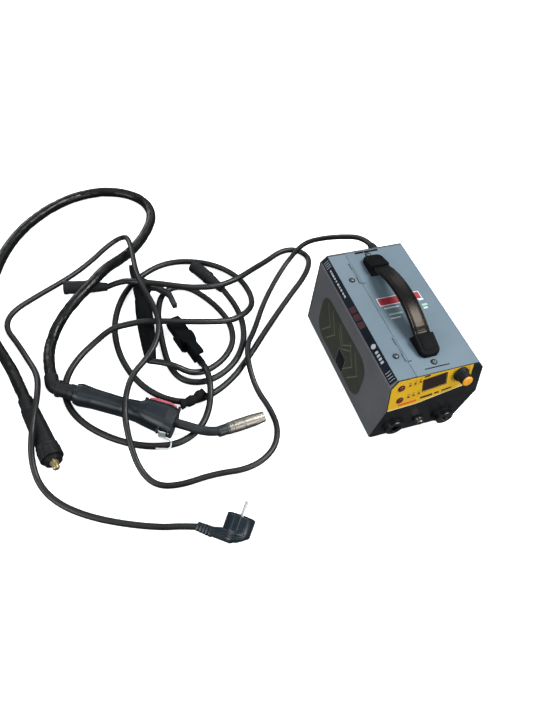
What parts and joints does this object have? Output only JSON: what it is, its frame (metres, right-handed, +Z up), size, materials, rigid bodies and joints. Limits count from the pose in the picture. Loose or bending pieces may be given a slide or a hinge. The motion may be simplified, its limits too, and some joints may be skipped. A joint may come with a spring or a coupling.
{
  "type": "mig welder",
  "caption": "Compact wire-feed welder: sheet-metal case with hinged side door, strap handle and sloping control panel, with torch, earth clamp and electrode leads laid on the floor",
  "frame": {"origin": "on the floor under the middle of the machine's case", "axes": "+Z up; -Y out of the control panel's side; -X out of the hinged door; +X out of the louvred side"},
  "size_m": [0.6717, 0.757, 0.18],
  "materials": {
    "cover_paint": "grey-blue powder coat, semi-matt",
    "door_paint": "dark grey semi-gloss paint",
    "black_moulding": "fine grained black moulding",
    "strap": "glossy brown-black strap",
    "torch_moulding": "satin blue-black moulding",
    "panel_yellow": "printed yellow-orange panel and cap",
    "button_red": "brown-red keys",
    "trigger_red": "pink-red trigger",
    "board": "green circuit board",
    "steel": "zinc plated steel",
    "die_cast": "plain aluminium",
    "nickel": "nickel with a bronze cast",
    "brass": "bare brass",
    "spool_plastic": "black spool moulding",
    "rubber": "black rubber"
  },
  "bodies": {
    "machine": {"outer_cover": "cover_paint", "base_pan": "door_paint", "front_bezel": "black_moulding", "rear_panel": "black_moulding", "handle_ends": "black_moulding", "mains_gland": "black_moulding", "socket_bodies": "black_moulding", "fan_frame": "black_moulding", "feeder_plate": "black_moulding", "spool_hub": "black_moulding", "torch_collar": "black_moulding", "euro_plug_body": "black_moulding", "mains_plug": "black_moulding", "clamp_lower_jaw": "black_moulding", "holder_handle": "black_moulding", "handle_grip": "strap", "torch_handle": "torch_moulding", "control_panel": "panel_yellow", "display_board": "board", "power_board": "board", "cover_screws": "steel", "cover_hinges": "steel", "partition": "steel", "feed_motor": "steel", "transformer": "steel", "heatsink": "die_cast", "gas_nozzle": "nickel", "swan_neck": "nickel", "socket_contacts": "brass", "gas_inlet": "brass", "euro_plug_pins": "brass", "lead_plug_pins": "brass", "holder_jaw": "brass", "contact_tip": "brass", "rubber_feet": "rubber", "mains_cord": "rubber", "torch_hose": "rubber", "earth_cord": "rubber", "electrode_cord": "rubber", "earth_plug": "rubber", "electrode_plug": "rubber"},
    "door": {"side_door": "door_paint"},
    "latch": {"door_latch": "black_moulding"},
    "dial": {"dial_knob": "black_moulding", "dial_cap": "panel_yellow"},
    "mode_key": {"mode_button": "button_red"},
    "function_key": {"function_button": "button_red"},
    "rocker": {"power_rocker": "black_moulding"},
    "fan": {"fan_rotor": "black_moulding"},
    "spool": {"wire_spool": "spool_plastic", "wire_winding": "brass"},
    "feed_roll": {"drive_roll": "steel"},
    "arm": {"pressure_arm": "die_cast"},
    "roller": {"pressure_roller": "steel"},
    "tension": {"tension_knob": "trigger_red"},
    "trigger": {"torch_trigger": "trigger_red"},
    "hook": {"torch_hook": "steel"},
    "plug_nut": {"euro_plug_nut": "black_moulding"},
    "clamp_arm": {"clamp_upper_jaw": "black_moulding"},
    "lever": {"holder_lever": "black_moulding"}
  },
  "joints": [
    {"name": "door_hinge", "type": "hinge", "parent": "machine", "child": "door", "pos_m": [-0.0373, 0, 0.1494], "axis": [0, 1, 0], "range_deg": [0, 95]},
    {"name": "latch_slide", "type": "slide", "parent": "door", "child": "latch", "axis": [0, 0, -1], "range_m": [0, 0.005]},
    {"name": "dial_turn", "type": "hinge", "parent": "machine", "child": "dial", "pos_m": [0.038, -0.12839, 0.13539], "axis": [0, -0.9741, 0.2261], "continuous": true},
    {"name": "mode_press", "type": "slide", "parent": "machine", "child": "mode_key", "axis": [0, 0.9741, -0.2261], "range_m": [0, 0.001], "stiffness_N_per_m": 400},
    {"name": "function_press", "type": "slide", "parent": "machine", "child": "function_key", "axis": [0, 0.9741, -0.2261], "range_m": [0, 0.001], "stiffness_N_per_m": 400},
    {"name": "rocker_tilt", "type": "hinge", "parent": "machine", "child": "rocker", "pos_m": [-0.03, 0.124, 0.122], "axis": [-1, 0, 0], "range_deg": [0, 18]},
    {"name": "fan_spin", "type": "hinge", "parent": "machine", "child": "fan", "pos_m": [0.0425, 0.112, 0.07], "axis": [0, 1, 0], "continuous": true},
    {"name": "feed_roll_spin", "type": "hinge", "parent": "machine", "child": "feed_roll", "pos_m": [-0.045, -0.068, 0.027], "axis": [1, 0, 0], "continuous": true},
    {"name": "spool_spin", "type": "hinge", "parent": "machine", "child": "spool", "pos_m": [-0.04, 0.052, 0.068], "axis": [1, 0, 0], "continuous": true},
    {"name": "arm_lift", "type": "hinge", "parent": "machine", "child": "arm", "pos_m": [-0.045, -0.096, 0.06], "axis": [1, 0, 0], "range_deg": [0, 60]},
    {"name": "roller_spin", "type": "hinge", "parent": "arm", "child": "roller", "pos_m": [-0.045, -0.068, 0.0528], "axis": [1, 0, 0], "continuous": true},
    {"name": "tension_turn", "type": "hinge", "parent": "arm", "child": "tension", "pos_m": [-0.048, -0.042, 0.0695], "axis": [0, 0, 1], "continuous": true},
    {"name": "trigger_pull", "type": "hinge", "parent": "machine", "child": "trigger", "pos_m": [-0.34431, -0.00755, 0.01939], "axis": [0.0184, -0.0124, 0.9998], "range_deg": [0, 6], "stiffness_Nm_per_rad": 0.5},
    {"name": "hook_swing", "type": "hinge", "parent": "machine", "child": "hook", "pos_m": [-0.37162, -0.0428, 0.02645], "axis": [-0.8278, 0.5606, 0.0222], "range_deg": [0, 90]},
    {"name": "plug_nut_turn", "type": "hinge", "parent": "machine", "child": "plug_nut", "pos_m": [-0.547, 0.07, 0.017], "axis": [0.2036, -0.979, 0], "continuous": true},
    {"name": "clamp_open", "type": "hinge", "parent": "machine", "child": "clamp_arm", "pos_m": [-0.29058, 0.12845, 0.015], "axis": [0.9723, 0.2336, 0], "range_deg": [0, 10], "stiffness_Nm_per_rad": 1.5},
    {"name": "lever_squeeze", "type": "hinge", "parent": "machine", "child": "lever", "pos_m": [-0.32769, 0.24904, 0.019], "axis": [0, 0, -1], "range_deg": [0, 7], "stiffness_Nm_per_rad": 1.5}
  ],
  "couplings": [
    {"joint": "spool_spin", "follows": "feed_roll_spin", "ratio": -0.353},
    {"joint": "roller_spin", "follows": "feed_roll_spin", "ratio": -1.5}
  ]
}
